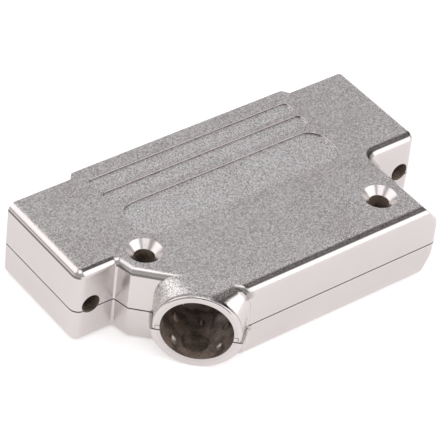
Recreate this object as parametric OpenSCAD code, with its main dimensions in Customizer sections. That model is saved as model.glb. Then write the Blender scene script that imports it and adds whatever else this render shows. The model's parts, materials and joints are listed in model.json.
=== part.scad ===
// D-sub hood, 37-way size, cable exit at 45 degrees, die-cast zinc, nickel plated.
// Two cast shells closed one on the other; no screws are fitted.
// Millimetres, +X along the connector, +Y out of the connector mouth, +Z up.
// Origin: middle of the bounding box in X and Y, underside at Z = 0.

/* [Connector] */
// distance between the two jackscrew axes
jack_spacing = 63.50; // [30:0.01:90]
// diameter of the jackscrew holes
jack_hole_d = 3.3; // [2.8:0.05:5]
// height of the connector flange held between the lips
flange_h = 12.55; // [12:0.05:13.5]
// width of the rear body of the connector
connector_w = 55.3; // [20:0.1:80]
// height of the rear body of the connector
connector_h = 10.7; // [9:0.1:12]
// clearance round the connector in the mouth
mouth_clearance = 0.5; // [0.1:0.05:1.5]

/* [Body] */
// overall length of the hood along the connector
hood_w = 69.4; // [40:0.1:100]
// overall thickness of the closed hood
hood_t = 14.7; // [13.5:0.1:20]
// depth of the connector's and the cable's axis below the top
axis_down = 7.15; // [6.9:0.05:9]
// height of the parting face above the underside
part_z = 6.55; // [4:0.05:10]
// depth of the ears, mating face to shoulder
ear_depth = 19.85; // [10:0.05:30]
// depth of the body, mating face to front wall
body_depth = 36.0; // [25:0.1:60]
// right-hand wall of the body, measured from the middle
body_right = 26.85; // [15:0.1:40]
// left-hand wall of the body at the shoulder
body_left = 27.3; // [15:0.1:40]
// left-hand wall where the slanting wall starts
body_left_low = 26.65; // [15:0.05:40]
// depth at which the slanting wall starts
slant_depth = 22.85; // [15:0.05:40]
// wall thickness of the castings
wall = 1.5; // [1:0.05:3]
// draft of the cast walls
draft_angle = 1; // [0:0.1:4]

/* [Edges] */
// height of the rounded upper edges, and how far they reach in at the ends
top_r = 1.5; // [0.5:0.05:3]
// how far the rounded upper edge reaches in at the front and the right shoulder
front_edge = 2.15; // [0.5:0.05:4]
// how far the rounded upper edge reaches in at the slanting wall
slant_edge = 1.15; // [0.5:0.05:4]
// radius of the long lower edges
bottom_r = 1.4; // [0.5:0.05:3]
// radius of the upright outer corners
corner_r = 1.7; // [1:0.05:4]
// bevel of the right-hand wall above the parting face
bevel_top = 3.8; // [1:0.1:6]
// bevel of the right-hand wall below the parting face
bevel_bottom = 3.0; // [1:0.1:6]
// small edge break at the parting face
part_break = 0.14; // [0:0.01:0.4]
// lip over the connector flange, reach
lip_reach = 1.25; // [0.5:0.05:3]
// half width of the lip at its front
lip_half = 21.6; // [10:0.1:40]
// half width of the lip at its root
lip_root_half = 22.6; // [10:0.1:40]

/* [Grip slots] */
// half length of the three recesses in the top
slot_half = 20.3; // [10:0.1:30]
// depth of the recesses
slot_deep = 0.35; // [0.1:0.05:0.8]
// mating face to the first recess
slot_start = 1.6; // [0.8:0.1:10]
// width of the two narrow recesses
slot_w = 2.9; // [1:0.1:6]
// pitch of the two narrow recesses
slot_pitch = 3.8; // [1:0.1:8]
// mating face to the wide recess
pad_start = 9.6; // [5:0.1:20]
// width of the wide recess
pad_w = 8.4; // [4:0.1:16]
// corner radius of the wide recess
pad_r = 3.2; // [0.5:0.1:4]

/* [Case screws] */
// left screw, distance left of the middle
screw_left_x = 22.25; // [5:0.05:30]
// left screw, distance from the mating face
screw_left_d = 20.2; // [5:0.05:35]
// right screw, distance right of the middle
screw_right_x = 18.55; // [5:0.05:30]
// right screw, distance from the mating face
screw_right_d = 29.1; // [5:0.05:35]
// clearance hole in the upper shell
screw_hole_d = 3.4; // [2:0.05:5]
// diameter of the countersink
sink_d = 5.85; // [4:0.05:9]
// tapping hole in the lower shell
screw_tap_d = 2.5; // [1.5:0.05:4]
// diameter of the screw bosses
boss_d = 6.6; // [5:0.1:10]

/* [Cable barrel] */
// outside diameter of the barrel on the upper shell
barrel_d = 14.2; // [13:0.1:20]
// outside diameter of the barrel on the lower shell
barrel_low_d = 15.0; // [13:0.1:20]
// height of the neck above the plain end of the barrel
collar_step = 0.05; // [0.03:0.01:0.3]
// length of the plain end of the barrel
collar_len = 0.75; // [0.4:0.05:2]
// bore of the barrel
bore_d = 11.8; // [6:0.1:18]
// barrel axis, place along the slanting wall
barrel_along = 8.77; // [5:0.01:20]
// reach of the barrel beyond the slanting wall
barrel_reach = 3.7; // [1:0.05:10]
// length of the bore from the barrel face
bore_len = 10.6; // [5:0.1:20]
// edge radius at the barrel face
barrel_edge = 0.3; // [0.1:0.05:1]
// how much wider than the barrel the neck is where it leaves the wall
neck_flare = 0.3; // [0.1:0.05:1.5]
// squareness of the neck where it leaves the wall
neck_square = 3.6; // [2:0.1:6]
// height of the cable teeth
tooth_h = 0.8; // [0.3:0.05:2]
// diameter of the ejector mark in the barrel
ejector_d = 4.4; // [2:0.1:6]
// ejector mark, distance from the barrel face
ejector_in = 3.6; // [3:0.1:8]

/* [Joint lip] */
// height of the lip that stands on the lower shell
lip_h = 0.85; // [0.3:0.05:2]
// thickness of that lip
lip_t = 0.65; // [0.3:0.05:1.2]
// clearance of the lip in its rebate
lip_gap = 0.08; // [0.02:0.01:0.3]

/* [Show] */
// piece to show

/* [Hidden] */
plate_colour = [0.80, 0.78, 0.76];
e = 0.01;
axis_z = hood_t - axis_down;
half_w = hood_w / 2;
jack_x = jack_spacing / 2;
mouth_half = connector_w / 2 + mouth_clearance;
mouth_h = connector_h + mouth_clearance;
flange_gap = flange_h + 0.2;
slant_n = (body_left_low + slant_depth) / sqrt(2);
face_n = slant_n + barrel_reach;
bore_n = face_n - bore_len;
barrel_r = barrel_d / 2;
barrel_low_r = barrel_low_d / 2;
bore_r = bore_d / 2;
widest = sqrt(barrel_low_r * barrel_low_r - (axis_z - part_z) * (axis_z - part_z));
front_reach = (barrel_along + widest + face_n) / sqrt(2) - barrel_edge * (2 - sqrt(2)) / sqrt(2);
mid_y = (front_reach - lip_reach) / 2;
slant_end_x = body_depth - body_left_low - slant_depth;
$fn = 64;

// corners of the outline, seen from above, anticlockwise
outline = [
    [-half_w, 0],
    [-half_w, -ear_depth],
    [-body_left, -ear_depth],
    [-body_left_low, -slant_depth],
    [slant_end_x, -body_depth],
    [body_right, -body_depth],
    [body_right, -ear_depth],
    [half_w, -ear_depth],
    [half_w, 0],
    [lip_root_half, 0],
    [lip_half, lip_reach],
    [-lip_half, lip_reach],
    [-lip_root_half, 0]
];
// upright radius and number of steps at each corner
radii = [0.2, corner_r, 0.4, 0.8, 1.2, corner_r, 0.5, corner_r, 0.2, 0.3, 0.4, 0.4, 0.3];
steps = [2, 7, 4, 3, 5, 7, 5, 7, 2, 2, 3, 3, 2];
BEVEL_SIDE = 5;
FIRST_MATING_SIDE = 8;
upper_edge = [top_r, top_r, slant_edge, slant_edge, front_edge, 0, front_edge, top_r];
lower_edge = [for (i = [0 : FIRST_MATING_SIDE - 1]) bottom_r];
hub = [0, -0.65 * ear_depth];

function unit(v) = v / norm(v);
function left_of(v) = [-v[1], v[0]];
function flat_cross(a, b) = a[0] * b[1] - a[1] * b[0];

// the outline with every side moved inwards by its own amount
function moved(v, d) = [
    for (i = [0 : len(v) - 1])
        let (
            h = (i + len(v) - 1) % len(v),
            j = (i + 1) % len(v),
            a = unit(v[i] - v[h]),
            b = unit(v[j] - v[i]),
            p = v[i] + left_of(a) * d[h],
            q = v[i] + left_of(b) * d[i]
        )
        p + a * (flat_cross(q - p, b) / flat_cross(a, b))
];

// rounded corner number i of the outline v
function arc_at(v, i, r, n) =
    let (
        h = (i + len(v) - 1) % len(v),
        j = (i + 1) % len(v),
        a = unit(v[i] - v[h]),
        b = unit(v[j] - v[i]),
        turn = atan2(flat_cross(a, b), a * b),
        s = sign(turn),
        start = v[i] - a * (r * tan(abs(turn) / 2)),
        mid = start + left_of(a) * (s * r)
    )
    [
        for (k = [0 : n])
            let (t = turn * k / n, w = start - mid)
            mid + [w[0] * cos(t) - w[1] * sin(t), w[0] * sin(t) + w[1] * cos(t)]
    ];

function turn_sign(v, i) =
    let (
        h = (i + len(v) - 1) % len(v),
        j = (i + 1) % len(v)
    )
    sign(flat_cross(unit(v[i] - v[h]), unit(v[j] - v[i])));

// one ring of the skin: draft inset d, share c of the rounded edge's own inset,
// inset of the bevelled side b, height z; the mating sides are cut square,
// with no draft and no rounded edge
function ring(d, b, z, c = 0, edge = upper_edge) =
    let (
        insets = [
            for (i = [0 : len(outline) - 1])
                i == BEVEL_SIDE ? b : i >= FIRST_MATING_SIDE ? 0 : d + c * edge[i]
        ],
        v = moved(outline, insets)
    )
    [
        for (i = [0 : len(v) - 1])
            let (
                h = (i + len(v) - 1) % len(v),
                mean = (insets[h] + insets[i]) / 2,
                r = turn_sign(v, i) > 0 ? max(radii[i] - mean, 0.12) : radii[i] + mean
            )
            for (p = arc_at(v, i, r, steps[i])) [p[0], p[1], z]
    ];

// closed skin through a list of rings, lowest first
module skin(rings) {
    n = len(rings[0]);
    m = len(rings);
    points = [for (r = rings) for (p = r) p];
    low = n * m;
    high = low + 1;
    polyhedron(
        points = concat(
            points,
            [[hub[0], hub[1], rings[0][0][2]], [hub[0], hub[1], rings[m - 1][0][2]]]
        ),
        faces = concat(
            [for (k = [0 : m - 2]) for (i = [0 : n - 1])
                [k * n + i, (k + 1) * n + i, (k + 1) * n + (i + 1) % n]],
            [for (k = [0 : m - 2]) for (i = [0 : n - 1])
                [k * n + i, (k + 1) * n + (i + 1) % n, k * n + (i + 1) % n]],
            [for (i = [0 : n - 1]) [low, i, (i + 1) % n]],
            [for (i = [0 : n - 1]) [high, (m - 1) * n + (i + 1) % n, (m - 1) * n + i]]
        )
    );
}

function draft(h) = h * tan(draft_angle);

// bevel of the right-hand wall: inset at a height h above the parting face
function bevel(h, full, reach, foot) =
    h < foot ? draft(h) :
    let (s = min((h - foot) / (reach - foot), 1))
    draft(foot) + full * (s < 0.25 ? 2 * s * s : s - 0.125) / 0.875;

upper_h = hood_t - part_z;
upper_foot = 3.6;
upper_side = upper_h - top_r;
fillet_steps = 6;
upper_rings = concat(
    [ring(part_break, part_break, part_z)],
    [for (h = [part_break, upper_foot, 4.4, 5.4, upper_side])
        ring(draft(h), bevel(h, bevel_top, upper_h, upper_foot), part_z + h)],
    [for (k = [1 : fillet_steps])
        let (t = 90 * k / fillet_steps, h = upper_side + top_r * sin(t))
        ring(draft(upper_side), bevel(h, bevel_top, upper_h, upper_foot), part_z + h,
             1 - cos(t), upper_edge)]
);

lower_foot = 2.2;
lower_side = part_z - bottom_r;
lower_down = concat(
    [ring(part_break, part_break, part_z)],
    [for (h = [part_break, lower_foot, 3.2, lower_side])
        ring(draft(h), bevel(h, bevel_bottom, part_z, lower_foot), part_z - h)],
    [for (k = [1 : fillet_steps])
        let (t = 90 * k / fillet_steps, h = lower_side + bottom_r * sin(t))
        ring(draft(lower_side), bevel(h, bevel_bottom, part_z, lower_foot), part_z - h,
             1 - cos(t), lower_edge)]
);
lower_rings = [for (i = [len(lower_down) - 1 : -1 : 0]) lower_down[i]];

// frame of the barrel: local +Z runs out of the barrel along its axis,
// local +X along the slanting wall, local +Y up
module at_barrel(n) {
    translate([(barrel_along - n) / sqrt(2), -(barrel_along + n) / sqrt(2), axis_z])
        rotate([0, 0, -45])
            rotate([90, 0, 0])
                children();
}

// section of the neck: a circle at the face end, squarer and wider at the wall
function neck_point(t, half, high, sq) =
    let (c = cos(t), s = sin(t))
    [
        sign(c) * half * pow(abs(c), 2 / sq),
        sign(s) * high * pow(abs(s), 2 / sq)
    ];
NECK_N = 56;
neck_to = face_n - collar_len;
// place along the axis from the wall, share of the flare, squareness
neck_rings = [
    [-2.2, 2, neck_square + 0.4],
    [-0.05, 1.8, neck_square + 0.2],
    [0.2, 1.2, neck_square],
    [0.6, 0.8, neck_square - 0.3],
    [1.3, 0.4, 2.9],
    [2.1, 0.1, 2.35],
    [neck_to - slant_n, 0, 2]
];
module neck(r) {
    m = len(neck_rings);
    high = r + collar_step;
    at_barrel(slant_n)
        polyhedron(
            points = concat(
                [for (k = neck_rings) for (i = [0 : NECK_N - 1])
                    let (p = neck_point(360 * (i + 0.5) / NECK_N, high + k[1] * neck_flare, high, k[2]))
                    [p[0], p[1], k[0]]],
                [[0, 0, neck_rings[0][0]], [0, 0, neck_rings[m - 1][0]]]
            ),
            faces = concat(
                [for (k = [0 : m - 2]) for (i = [0 : NECK_N - 1])
                    [k * NECK_N + i, (k + 1) * NECK_N + i, (k + 1) * NECK_N + (i + 1) % NECK_N]],
                [for (k = [0 : m - 2]) for (i = [0 : NECK_N - 1])
                    [k * NECK_N + i, (k + 1) * NECK_N + (i + 1) % NECK_N, k * NECK_N + (i + 1) % NECK_N]],
                [for (i = [0 : NECK_N - 1]) [m * NECK_N, i, (i + 1) % NECK_N]],
                [for (i = [0 : NECK_N - 1])
                    [m * NECK_N + 1, (m - 1) * NECK_N + (i + 1) % NECK_N, (m - 1) * NECK_N + i]]
            )
        );
}

// plain barrel with a rounded edge at its face
module barrel(r) {
    at_barrel(bore_n)
        rotate_extrude()
            union() {
                square([r - barrel_edge, bore_len]);
                square([r, bore_len - barrel_edge]);
                translate([r - barrel_edge, bore_len - barrel_edge])
                    circle(r = barrel_edge, $fn = 32);
            }
}

module above(z) {
    translate([-60, -60, z])
        cube([120, 80, 40]);
}

module below(z) {
    translate([-60, -60, z - 40])
        cube([120, 80, 40]);
}

floor_z = axis_z - mouth_h / 2;
roof_z = axis_z + mouth_h / 2;
inner = moved(outline, [for (p = outline) wall]);
inner_back = -(ear_depth - wall);
// the hollow seen from above: connector mouth and wire space
hollow = [
    [-mouth_half, lip_reach + 1],
    [-mouth_half, inner_back],
    inner[2],
    inner[3],
    inner[4],
    inner[5],
    inner[6],
    [mouth_half, inner_back],
    [mouth_half, lip_reach + 1]
];

// prism along Y between two depths from an outline in X and Z
module along_y(d0, d1, pts) {
    translate([0, -d0, 0])
        rotate([90, 0, 0])
            linear_extrude(height = d1 - d0)
                polygon(pts);
}

// material kept inside the bevelled wall, so that it stays one thickness
module bevel_lining() {
    in_x = body_right - wall + 0.1;
    top_x = body_right - bevel_top + 0.45 * bevel_top - 1.4 * wall - 0.3;
    low_x = body_right - bevel_bottom + 0.45 * bevel_bottom - 1.4 * wall - 0.1;
    rise = in_x - top_x;
    drop = in_x - low_x;
    along_y(ear_depth - wall, body_depth, [
        [top_x, roof_z + e],
        [in_x, roof_z - rise],
        [in_x + 1, roof_z - rise],
        [in_x + 1, roof_z + e]
    ]);
    along_y(ear_depth - wall, body_depth, [
        [low_x, floor_z - e],
        [in_x + 1, floor_z - e],
        [in_x + 1, floor_z + drop],
        [in_x, floor_z + drop]
    ]);
}

module boss_at(x, d, h0, h1, dia) {
    translate([x, -d, h0])
        cylinder(h = h1 - h0, d = dia);
}

boss_left = boss_d + 0.8;
// hollow of the closed hood, without the cable bore
module hollow_space() {
    difference() {
        translate([0, 0, floor_z])
            linear_extrude(height = mouth_h)
                polygon(hollow);
        bevel_lining();
        boss_at(-screw_left_x, screw_left_d, 0, hood_t, boss_left);
        boss_at(screw_right_x, screw_right_d, 0, hood_t, boss_d);
        at_barrel(bore_n)
            translate([-barrel_r, -hood_t, 0])
                cube([barrel_d, 2 * hood_t, slant_n - bore_n]);
    }
}

// cable bore, running out a little beyond both ends
module cable_bore() {
    at_barrel(bore_n - 0.5)
        cylinder(h = bore_len + 1.5, r = bore_r, $fn = 96);
}

chamber_in = mouth_half + 1.25;
chamber_out = half_w - 1.3;
chamber_front = ear_depth - 2.85;
chamber_back = 1.8;
// jackscrew hole through the ear and the cored chamber behind the shoulder
module jack_way(side) {
    translate([side * jack_x, 1, axis_z])
        rotate([90, 0, 0])
            cylinder(h = ear_depth + 2, d = jack_hole_d, $fn = 48);
    mid = (chamber_in + chamber_out) / 2;
    translate([side * mid, 0, floor_z])
        linear_extrude(height = mouth_h)
            round_box(chamber_out - chamber_in, chamber_back, chamber_front, 0.6);
}

// rectangle with round corners, centred on X, between two depths
module round_box(w, d0, d1, r) {
    translate([-w / 2, -d1 + r])
        square([w, d1 - d0 - 2 * r]);
    translate([-w / 2 + r, -d1])
        square([w - 2 * r, d1 - d0]);
    for (x = [-w / 2 + r, w / 2 - r])
        for (y = [-d0 - r, -d1 + r])
            translate([x, y])
                circle(r = r, $fn = 32);
}

// room for the connector flange between the two lips
module flange_room() {
    translate([-half_w, 0, axis_z - flange_gap / 2])
        cube([hood_w, lip_reach + 1, flange_gap]);
}

// plan of the joint lip, grown by g
module lip_plan(g) {
    intersection() {
        polygon(moved(hollow, [for (p = hollow) -(lip_t + g)]));
        translate([-half_w, -body_depth])
            square([hood_w, body_depth]);
    }
    rotate([0, 0, -45])
        translate([barrel_along - bore_r - lip_t - g, -face_n])
            square([2 * (bore_r + lip_t + g), face_n - bore_n]);
}

module grip_slots() {
    z = hood_t - slot_deep;
    translate([0, 0, z])
        linear_extrude(height = 1) {
            round_box(2 * slot_half, slot_start, slot_start + slot_w, 0.8);
            round_box(2 * slot_half, slot_start + slot_pitch, slot_start + slot_pitch + slot_w, 0.8);
            round_box(2 * slot_half, pad_start, pad_start + pad_w, pad_r);
        }
}

// clearance hole with its countersink
module sunk_hole(x, d) {
    sink_h = (sink_d - screw_hole_d) / 2;
    translate([x, -d, part_z - 1])
        cylinder(h = hood_t, d = screw_hole_d, $fn = 48);
    translate([x, -d, hood_t - sink_h])
        cylinder(h = sink_h + 0.5, d1 = screw_hole_d, d2 = sink_d + 1, $fn = 64);
}

module tap_hole(x, d) {
    translate([x, -d, 2])
        cylinder(h = hood_t, d = screw_tap_d, $fn = 40);
    translate([x, -d, part_z + lip_h - 0.35])
        cylinder(h = 0.36, d1 = screw_tap_d, d2 = screw_tap_d + 0.72, $fn = 40);
}

// one cable tooth on the bore wall, s from the barrel face, x off the axis
module tooth(s, x, up) {
    drop = sqrt(bore_r * bore_r - x * x);
    at_barrel(face_n - s)
        translate([x, -up * (drop + 0.5), 0])
            rotate([-90 * up, 0, 0])
                cylinder(h = tooth_h + 0.5, d1 = 1.9, d2 = 0.2, $fn = 24);
}

module teeth(up) {
    for (x = [-3.85, 3.85])
        tooth(2.1, x, up);
    for (x = [-4.3, 4.3])
        tooth(6.9, x, up);
    tooth(8.4, 0, up);
}

module place() {
    translate([0, mid_y, 0])
        children();
}

module upper_shell() {
    color(plate_colour)
        place() {
            difference() {
                union() {
                    skin(upper_rings);
                    intersection() {
                        union() {
                            neck(barrel_r);
                            barrel(barrel_r);
                        }
                        above(part_z);
                    }
                }
                hollow_space();
                cable_bore();
                jack_way(-1);
                jack_way(1);
                flange_room();
                translate([0, 0, part_z - 0.5])
                    linear_extrude(height = lip_h + 0.6)
                        lip_plan(lip_gap);
                grip_slots();
                sunk_hole(-screw_left_x, screw_left_d);
                sunk_hole(screw_right_x, screw_right_d);
            }
            intersection() {
                teeth(-1);
                above(part_z + lip_h + 0.6);
            }
        }
}

module lower_shell() {
    color(plate_colour)
        place() {
            difference() {
                union() {
                    skin(lower_rings);
                    intersection() {
                        union() {
                            neck(barrel_low_r);
                            barrel(barrel_low_r);
                        }
                        below(part_z);
                    }
                    translate([0, 0, part_z - 0.5])
                        linear_extrude(height = lip_h + 0.5)
                            lip_plan(0);
                }
                hollow_space();
                cable_bore();
                jack_way(-1);
                jack_way(1);
                flange_room();
                tap_hole(-screw_left_x, screw_left_d);
                tap_hole(screw_right_x, screw_right_d);
                at_barrel(face_n - ejector_in)
                    translate([-0.3, -bore_r - 0.2, 0])
                        rotate([-90, 0, 0])
                            cylinder(h = ejector_d / 2, d = ejector_d, $fn = 48);
            }
            intersection() {
                teeth(1);
                below(part_z);
            }
        }
}

upper_shell();
lower_shell();
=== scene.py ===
import json
import math

import bpy
from mathutils import Matrix, Vector


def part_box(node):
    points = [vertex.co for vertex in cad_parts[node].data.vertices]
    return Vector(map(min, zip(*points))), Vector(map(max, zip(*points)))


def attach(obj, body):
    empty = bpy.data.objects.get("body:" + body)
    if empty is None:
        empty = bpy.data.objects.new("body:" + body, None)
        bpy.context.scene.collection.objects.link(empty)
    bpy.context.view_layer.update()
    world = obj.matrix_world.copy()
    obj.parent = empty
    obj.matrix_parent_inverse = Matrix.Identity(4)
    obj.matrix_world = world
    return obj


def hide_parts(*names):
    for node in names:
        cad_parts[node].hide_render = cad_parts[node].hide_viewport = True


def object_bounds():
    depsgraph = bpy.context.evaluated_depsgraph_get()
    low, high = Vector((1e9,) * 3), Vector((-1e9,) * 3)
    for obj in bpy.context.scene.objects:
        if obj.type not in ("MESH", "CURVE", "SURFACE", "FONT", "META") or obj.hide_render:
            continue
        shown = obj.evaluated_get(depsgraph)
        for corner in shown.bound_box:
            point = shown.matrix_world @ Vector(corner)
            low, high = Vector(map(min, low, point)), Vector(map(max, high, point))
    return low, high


MM = 0.001

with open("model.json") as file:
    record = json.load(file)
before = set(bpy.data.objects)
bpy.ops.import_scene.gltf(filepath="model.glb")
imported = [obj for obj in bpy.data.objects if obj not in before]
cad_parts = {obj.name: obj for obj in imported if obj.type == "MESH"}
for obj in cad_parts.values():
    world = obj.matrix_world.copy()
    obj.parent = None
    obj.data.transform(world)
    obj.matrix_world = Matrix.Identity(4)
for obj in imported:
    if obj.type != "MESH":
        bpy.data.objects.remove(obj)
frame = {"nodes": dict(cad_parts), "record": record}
cad_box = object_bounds()
mounts = {mount["name"]: mount for mount in frame["record"]["mounts"]}
top_z = cad_box[1].z
parting_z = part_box("upper_shell")[0].z

# how the hood is looked at: turned from +Y towards +X, looking down, head tilted, in degrees
HEADING = 41.53
LOOK_DOWN = 40.54
TILT = 7.12
LENS = 202.4
SENSOR = 36.0
CAMERA_DISTANCE = 409.0 * MM
AIM = Vector((-2.1, 4.0, 7.55)) * MM

# the part of the top that holds the three grip recesses, and the easing of their edges
RECESS_HALF = 20.6 * MM
RECESS_FRONT = 0.0
RECESS_EASE = 0.12 * MM
LEVEL_SLACK = 0.01 * MM

# how the castings' facets are merged into faces and shaded
WELD = 0.001 * MM
FLAT_WITHIN = math.radians(0.6)
SMOOTH_WITHIN = math.radians(32)

# how far behind the cable barrel's mouth its collar ends, and the slanted wall stands
COLLAR_BACK = 0.75 * MM
WALL_BACK = 3.7 * MM

# colours of the plated zinc, and of the painted shade and painted light on it
SMOOTH_COLOUR = (0.60, 0.56, 0.55)
GRAIN_COLOUR = (0.75, 0.696, 0.673)
# painted shade inside the holes and the cable barrel, dark brown
HOLE_SHADE_BROWN = (0.34, 0.265, 0.215)
# painted light on the tips of the lower cable teeth
TEETH_LIGHT_COLOUR = (0.72, 0.66, 0.62, 1)
SLOT_SHADOW = (0.07, 0.06, 0.06, 1)
# painted dark reflection and painted shade on the rounds and in the neck's corner
BAND_SHADOW = (0.05, 0.045, 0.042, 1)
JOINT_SHADOW = (0.035, 0.028, 0.025, 1)

DRILLED = ("jackscrew_left", "jackscrew_right", "case_screw_left", "case_screw_right")


def directions(heading, look_down, tilt):
    """Right, up and forward of the camera."""
    heading, look_down, tilt = (math.radians(a) for a in (heading, look_down, tilt))
    forward = Vector((
        math.sin(heading) * math.cos(look_down),
        math.cos(heading) * math.cos(look_down),
        -math.sin(look_down),
    ))
    level = forward.cross(Vector((0, 0, 1))).normalized()
    upright = level.cross(forward)
    right = level * math.cos(tilt) + upright * math.sin(tilt)
    up = upright * math.cos(tilt) - level * math.sin(tilt)
    return right, up, forward


def set_camera():
    right, up, forward = directions(HEADING, LOOK_DOWN, TILT)
    data = bpy.data.cameras.new("camera")
    data.sensor_width = SENSOR
    data.lens = LENS
    data.clip_start = 0.01
    data.clip_end = 10.0
    camera = bpy.data.objects.new("camera", data)
    bpy.context.scene.collection.objects.link(camera)
    place = AIM - forward * CAMERA_DISTANCE
    turn = Matrix((right, up, -forward)).transposed().to_4x4()
    camera.matrix_world = Matrix.Translation(place) @ turn
    bpy.context.scene.camera = camera


def panel(name, azimuth, elevation, distance, size, radiance):
    """Soft light panel that faces the hood, azimuth in degrees from +X towards +Y."""
    azimuth, elevation = math.radians(azimuth), math.radians(elevation)
    towards = Vector((
        math.cos(azimuth) * math.cos(elevation),
        math.sin(azimuth) * math.cos(elevation),
        math.sin(elevation),
    ))
    data = bpy.data.lights.new(name, "AREA")
    data.shape = "RECTANGLE"
    data.size, data.size_y = size
    data.energy = radiance * math.pi * size[0] * size[1]
    lamp = bpy.data.objects.new(name, data)
    bpy.context.scene.collection.objects.link(lamp)
    lamp.location = towards * distance
    lamp.rotation_mode = "QUATERNION"
    lamp.rotation_quaternion = (-towards).to_track_quat("-Z", "Y")


def deselect():
    bpy.ops.object.select_all(action="DESELECT")


def make_active(piece):
    deselect()
    piece.select_set(True)
    bpy.context.view_layer.objects.active = piece


def at_recess(point):
    """Whether a point lies on the top, in the part that holds the grip recesses."""
    return (abs(point.z - top_z) < LEVEL_SLACK and abs(point.x) < RECESS_HALF
            and point.y > RECESS_FRONT)


def ease_recess_edges(piece):
    """Rounds the upper edges of the grip recesses, where the plating has built up."""
    upright, flat = 0.1, 0.9
    bpy.ops.object.mode_set(mode="EDIT")
    bpy.ops.mesh.select_mode(type="EDGE")
    bpy.ops.mesh.select_all(action="DESELECT")
    bpy.ops.object.mode_set(mode="OBJECT")
    mesh = piece.data
    rises = {}
    for face in mesh.polygons:
        for key in face.edge_keys:
            rises.setdefault(key, []).append(abs(face.normal.z))
    for edge in mesh.edges:
        ends = [mesh.vertices[i].co for i in edge.vertices]
        sides = rises.get(tuple(sorted(edge.vertices)), [])
        edge.select = (
            all(at_recess(end) for end in ends)
            and len(sides) == 2 and min(sides) < upright and max(sides) > flat
        )
    bpy.ops.object.mode_set(mode="EDIT")
    bpy.ops.mesh.bevel(offset=RECESS_EASE, segments=3, clamp_overlap=True)
    bpy.ops.object.mode_set(mode="OBJECT")


def finished_casting(node, name):
    """Copy of a cast shell with its facets merged and its rounds shaded smooth."""
    source = frame["nodes"][node]
    piece = bpy.data.objects.new(name, source.data.copy())
    bpy.context.scene.collection.objects.link(piece)
    piece.data.name = name
    make_active(piece)
    bpy.ops.mesh.customdata_custom_splitnormals_clear()
    bpy.ops.object.mode_set(mode="EDIT")
    bpy.ops.mesh.select_all(action="SELECT")
    bpy.ops.mesh.remove_doubles(threshold=WELD)
    bpy.ops.mesh.dissolve_limited(angle_limit=FLAT_WITHIN)
    bpy.ops.object.mode_set(mode="OBJECT")
    ease_recess_edges(piece)
    bpy.ops.object.shade_smooth_by_angle(angle=SMOOTH_WITHIN)
    weigh = piece.modifiers.new("even shading", "WEIGHTED_NORMAL")
    weigh.keep_sharp = True
    weigh.weight = 100
    bpy.ops.object.modifier_apply(modifier=weigh.name)
    return piece


class Wiring:
    """Adds the nodes of one material and joins them."""

    def __init__(self, material):
        self.tree = material.node_tree
        self.coords = self.add("ShaderNodeTexCoord").outputs["Object"]

    def add(self, kind, inputs=(), **settings):
        made = self.tree.nodes.new(kind)
        for key, value in settings.items():
            setattr(made, key, value)
        for key, value in dict(inputs).items():
            self.feed(made.inputs[key], value)
        return made

    def feed(self, socket, value):
        if isinstance(value, bpy.types.NodeSocket):
            self.tree.links.new(value, socket)
        else:
            socket.default_value = value

    def math(self, operation, a, b=0.0):
        return self.add("ShaderNodeMath", {0: a, 1: b}, operation=operation).outputs[0]

    def plus(self, a, b):
        return self.math("ADD", a, b)

    def times(self, a, b):
        return self.math("MULTIPLY", a, b)

    def size(self, value):
        return self.math("ABSOLUTE", value)

    def scaled(self, value, gain, base):
        """The value times gain, plus base."""
        return self.plus(self.times(value, gain), base)

    def opposite(self, mask):
        return self.math("SUBTRACT", 1.0, mask)

    def split(self, vector):
        return self.add("ShaderNodeSeparateXYZ", {0: vector}).outputs

    def dot(self, vector, direction):
        return self.add("ShaderNodeVectorMath", {0: vector, 1: direction},
                        operation="DOT_PRODUCT").outputs["Value"]

    def measured_from(self, point):
        return self.add("ShaderNodeVectorMath", {0: self.coords, 1: point},
                        operation="SUBTRACT").outputs[0]

    def step(self, value, start, end):
        """0 before start, 1 after end, soft in between; start may be above end."""
        return self.add("ShaderNodeMapRange", {"Value": value, "From Min": start, "From Max": end},
                        interpolation_type="SMOOTHSTEP").outputs[0]

    def all_of(self, first, *others):
        for mask in others:
            first = self.times(first, mask)
        return first

    def any_of(self, first, *others):
        for mask in others:
            first = self.math("MAXIMUM", first, mask)
        return first

    def noise(self, size, detail, roughness):
        return self.add("ShaderNodeTexNoise", {
            "Vector": self.coords, "Scale": 1 / size, "Detail": detail,
            "Roughness": roughness}).outputs["Fac"]

    def blend(self, factor, a, b):
        """Colour b over colour a."""
        made = self.add("ShaderNodeMix", data_type="RGBA")
        self.feed(made.inputs[0], factor)
        self.feed(made.inputs[6], a)
        self.feed(made.inputs[7], b)
        return made.outputs[2]

    def blend_value(self, factor, a, b):
        """Number b over number a."""
        made = self.add("ShaderNodeMix")
        self.feed(made.inputs[0], factor)
        self.feed(made.inputs[2], a)
        self.feed(made.inputs[3], b)
        return made.outputs[0]

    def tint(self, colour, amount):
        """The colour times a grey amount."""
        return self.add("ShaderNodeVectorMath", {0: colour, 3: amount},
                        operation="SCALE").outputs[0]


class Barrel:
    """Places measured from the cable barrel: out along it, to its side, up, and off its axis."""

    def __init__(self, net):
        cable = mounts["cable_entry"]
        axis = Vector(cable["axis"])
        self.outward = -axis if axis.y > 0 else axis
        across = Vector((-self.outward.y, self.outward.x, 0))
        if across.x < 0:
            across = -across
        place = net.measured_from(cable["pos_m"])
        self.out = net.dot(place, self.outward)
        self.side = net.dot(place, across)
        self.rise = net.dot(place, (0, 0, 1))
        squared = net.plus(net.times(self.side, self.side), net.times(self.rise, self.rise))
        self.off_axis = net.math("SQRT", squared)
        self.bore = cable["dims"]["r_mm"] * MM
        self.mouth = cable["dims"]["length_mm"] * MM / 2
        self.collar = self.mouth - COLLAR_BACK
        self.wall = self.mouth - WALL_BACK


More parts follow.
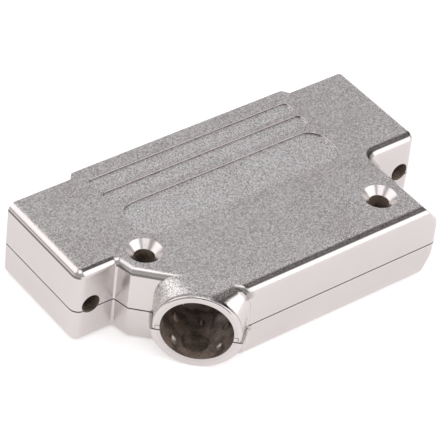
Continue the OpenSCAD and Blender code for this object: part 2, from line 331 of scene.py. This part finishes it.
class PlatedZinc:
    """Nickel plated zinc: smooth on the sides, grainy where the mould was spark eroded."""

    def __init__(self):
        self.material = bpy.data.materials.new("plated zinc")
        self.material.use_nodes = True
        net = self.net = Wiring(self.material)
        self.x, _, self.z = net.split(net.coords)
        self.facing = net.add("ShaderNodeNewGeometry").outputs["Normal"]
        self.face_x, self.face_y, self.face_z = net.split(self.facing)
        self.barrel = Barrel(net)
        self.grain = net.noise(0.10 * MM, 2.0, 0.65)
        self.speck = net.noise(0.28 * MM, 2.0, 0.5)
        self.cloud = net.noise(9.0 * MM, 3.0, 0.55)
        self.texture = net.plus(net.times(self.grain, 0.75), net.times(self.speck, 0.25))
        self.shade = net.step(self.texture, 0.43, 0.57)
        self.top = self.top_mask()
        self.grainy = net.any_of(self.top, self.neck_mask())
        self.near_top = net.step(self.z, top_z - 2.4 * MM, top_z - 2.2 * MM)

    def below_top(self, start, end):
        """Soft step at two depths under the top."""
        return self.net.step(self.z, top_z - start, top_z - end)

    def top_mask(self):
        """The top face, as far as its rounded edges."""
        net = self.net
        lean = 0.16
        level = net.plus(self.face_z, net.times(self.face_y, -lean))
        return net.all_of(net.step(level, 0.90, 0.985), self.below_top(1.2 * MM, 0.9 * MM))

    def neck_mask(self):
        """The grainy saddle over the barrel's root, between the slanted wall and the collar."""
        net, barrel = self.net, self.barrel
        return net.all_of(
            net.step(barrel.out, barrel.wall - 0.9 * MM, barrel.wall - 0.3 * MM),
            net.step(barrel.out, barrel.collar + 0.1 * MM, barrel.collar - 0.05 * MM),
            net.step(barrel.off_axis, barrel.bore + 0.3 * MM, barrel.bore + 0.5 * MM),
            net.step(barrel.side, 5.4 * MM, 3.8 * MM),
            net.step(barrel.side, -8.6 * MM, -8.2 * MM),
            net.step(barrel.rise, -0.9 * MM, -0.5 * MM),
            net.step(net.dot(self.facing, barrel.outward), 0.75, 0.5),
        )

    def plating_colour(self):
        """Warm grey on the smooth sides, dark and bright specks on the grain."""
        net = self.net
        recess_floor = net.all_of(self.below_top(0.25 * MM, 0.30 * MM), self.top)
        grain_tone = net.all_of(
            net.scaled(self.shade, 1.22, 0.32),
            net.scaled(self.cloud, 0.4, 0.80),
            net.scaled(recess_floor, 0.27, 1.0),
        )
        smooth_tone = net.scaled(self.cloud, 0.08, 0.96)
        return net.blend(self.grainy, net.tint(SMOOTH_COLOUR, smooth_tone),
                         net.tint(GRAIN_COLOUR, grain_tone))

    def slot_mask(self):
        """The back walls of the grip recesses, which lie in shadow."""
        net = self.net
        return net.all_of(
            net.step(self.face_z, 0.6, 0.3),
            self.below_top(0.42 * MM, 0.36 * MM),
            net.step(net.size(self.x), 21.2 * MM, 20.9 * MM),
            net.step(self.face_y, -0.2, -0.5),
        )

    def upper_band_mask(self):
        """Painted dark reflection on the upper edge of the rounds that face the front."""
        net = self.net
        return net.all_of(
            self.near_top,
            net.step(self.face_y, -0.08, -0.2),
            net.step(self.face_x, -0.25, -0.1),
            net.step(self.face_z, 0.73, 0.83),
            net.step(self.face_z, 0.992, 0.94),
            net.opposite(net.times(net.all_of(self.shade, self.top), 0.2)),
        )

    def foot_band_mask(self):
        """Painted shade along the foot of the rounds that face left."""
        net = self.net
        return net.all_of(
            self.near_top,
            net.step(self.face_x, -0.35, -0.6),
            net.step(self.face_z, 0.06, 0.14),
            net.step(self.face_z, 0.42, 0.30),
        )

    def root_mask(self):
        """Painted shade in the corner where the neck runs into the slanted wall."""
        net, barrel = self.net, self.barrel
        return net.all_of(
            self.near_top,
            net.step(barrel.off_axis, barrel.bore + 0.4 * MM, barrel.bore + 0.7 * MM),
            net.step(barrel.out, barrel.wall - 1.2 * MM, barrel.wall - 0.2 * MM),
            net.step(barrel.out, barrel.wall + 0.6 * MM, barrel.wall + 0.1 * MM),
            net.step(barrel.side, 3.6 * MM, 4.6 * MM),
        )

    def inside_hole(self, mount, margin):
        """A hole's wall and what lies in it, from the mount that describes the hole."""
        net = self.net
        softness = 0.03 * MM
        place = net.measured_from(mount["pos_m"])
        along = net.dot(place, Vector(mount["axis"]).normalized())
        squared = net.math("SUBTRACT", net.dot(place, place), net.times(along, along))
        off_axis = net.math("SQRT", net.math("MAXIMUM", squared, 0.0))
        edge = mount["dims"]["r_mm"] * MM + margin
        return net.step(off_axis, edge + softness, edge)

    def bore_mask(self):
        """The cable barrel's inside."""
        return self.inside_hole(mounts["cable_entry"], 0.6 * MM)

    def drilled_mask(self, bore):
        """The drilled holes, and the cable barrel's inside as far as its mouth."""
        net, mouth = self.net, self.barrel.mouth
        holes = [self.inside_hole(mounts[name], 0.02 * MM) for name in DRILLED]
        behind_mouth = net.step(self.barrel.out, mouth + 0.05 * MM, mouth - 0.3 * MM)
        return net.any_of(*holes, net.all_of(bore, behind_mouth))

    def tooth_mask(self, bore):
        """Painted light: the tips of the lower cable teeth, bright where they face up into the
        light, while the upper teeth stay in the bore's painted shade.
        """
        net, barrel = self.net, self.barrel
        return net.all_of(
            bore,
            net.step(barrel.off_axis, barrel.bore - 0.28 * MM, barrel.bore - 0.45 * MM),
            net.step(barrel.out, barrel.mouth - 4.5 * MM, barrel.mouth - 4.0 * MM),
            net.step(barrel.rise, 0.0, -1.0 * MM),
        )

    def joint_mask(self, bored):
        """The closed joint between the two shells, on the upright faces."""
        net = self.net
        from_joint = net.size(net.math("SUBTRACT", self.z, parting_z))
        return net.all_of(
            net.step(from_joint, 0.14 * MM, 0.09 * MM),
            net.step(net.size(self.face_z), 0.9, 0.75),
            net.opposite(bored),
        )

    def soot_colour(self):
        """Dull brown, in blotches: painted shade inside the holes and the cable barrel."""
        net = self.net
        blotch = net.step(net.noise(2.6 * MM, 3.0, 0.6), 0.36, 0.62)
        tone = net.plus(net.times(self.speck, 0.8), net.times(blotch, 0.62))
        return net.tint(HOLE_SHADE_BROWN, net.plus(tone, 0.02))

    def finish(self):
        """Joins everything to the shader, and gives the material."""
        net = self.net
        shader = self.material.node_tree.nodes["Principled BSDF"]
        bore = self.bore_mask()
        bored = self.drilled_mask(bore)
        joint = self.joint_mask(bored)
        # painted dark reflection and painted shade on the rounds and in the neck's corner
        dark_reflection_and_shade = net.any_of(
            net.times(self.upper_band_mask(), 0.97),
            net.times(self.foot_band_mask(), 0.8),
            net.times(self.root_mask(), 0.45),
        )

        colour = self.plating_colour()
        colour = net.blend(net.times(self.slot_mask(), 0.75), colour, SLOT_SHADOW)
        colour = net.blend(dark_reflection_and_shade, colour, BAND_SHADOW)
        # painted shade: dark brown inside the drilled holes and the cable barrel
        colour = net.blend(bored, colour, self.soot_colour())
        # painted light: the tips of the lower cable teeth, bright over the painted shade of the
        # bore
        colour = net.blend(self.tooth_mask(bore), colour, TEETH_LIGHT_COLOUR)
        colour = net.blend(joint, colour, JOINT_SHADOW)
        net.feed(shader.inputs["Base Color"], colour)

        rough = net.blend_value(self.grainy, 0.24, net.scaled(self.shade, -0.08, 0.52))
        rough = net.blend_value(bored, rough, 0.45)
        rough = net.blend_value(joint, rough, 0.7)
        net.feed(shader.inputs["Roughness"], rough)
        net.feed(shader.inputs["Metallic"], net.opposite(net.times(bored, 0.55)))

        relief = net.add("ShaderNodeBump", {
            "Strength": net.scaled(self.grainy, 0.55, 0.03),
            "Distance": 0.06 * MM, "Height": self.texture})
        net.feed(shader.inputs["Normal"], relief.outputs[0])
        return self.material


def white_paper():
    """Matt white paper that glows a little, so that the floor stays pale."""
    paper = bpy.data.materials.new("white paper")
    paper.use_nodes = True
    shader = paper.node_tree.nodes["Principled BSDF"]
    shader.inputs["Base Color"].default_value = (0.88, 0.87, 0.87, 1)
    shader.inputs["Roughness"].default_value = 0.9
    shader.inputs["Specular IOR Level"].default_value = 0.1
    shader.inputs["Emission Color"].default_value = (1, 0.985, 0.98, 1)
    shader.inputs["Emission Strength"].default_value = 0.4
    return paper


def lay_floor():
    deselect()
    bpy.ops.mesh.primitive_plane_add(size=6, location=(0, 0, 0))
    floor = bpy.context.active_object
    floor.name = "floor"
    floor.data.materials.append(white_paper())


def light_studio():
    panel("front right panel", -50, 28, 1.5, (1.5, 1.5), 1.5)
    panel("back left panel", 130, 38, 1.5, (1.6, 1.2), 1.25)
    panel("high panel behind the viewer", 228, 66, 1.4, (0.9, 0.9), 1.6)
    world = bpy.data.worlds.new("studio")
    bpy.context.scene.world = world
    world.use_nodes = True
    sky = world.node_tree.nodes["Background"]
    sky.inputs["Color"].default_value = (0.98, 0.97, 1.0, 1)
    sky.inputs["Strength"].default_value = 0.52
    bpy.context.scene.view_settings.view_transform = "Standard"


set_camera()

plating = PlatedZinc().finish()
for node in ("upper_shell", "lower_shell"):
    casting = finished_casting(node, node.replace("shell", "casting"))
    casting.data.materials.clear()
    casting.data.materials.append(plating)
    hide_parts(node)
    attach(casting, "root")

lay_floor()
light_studio()
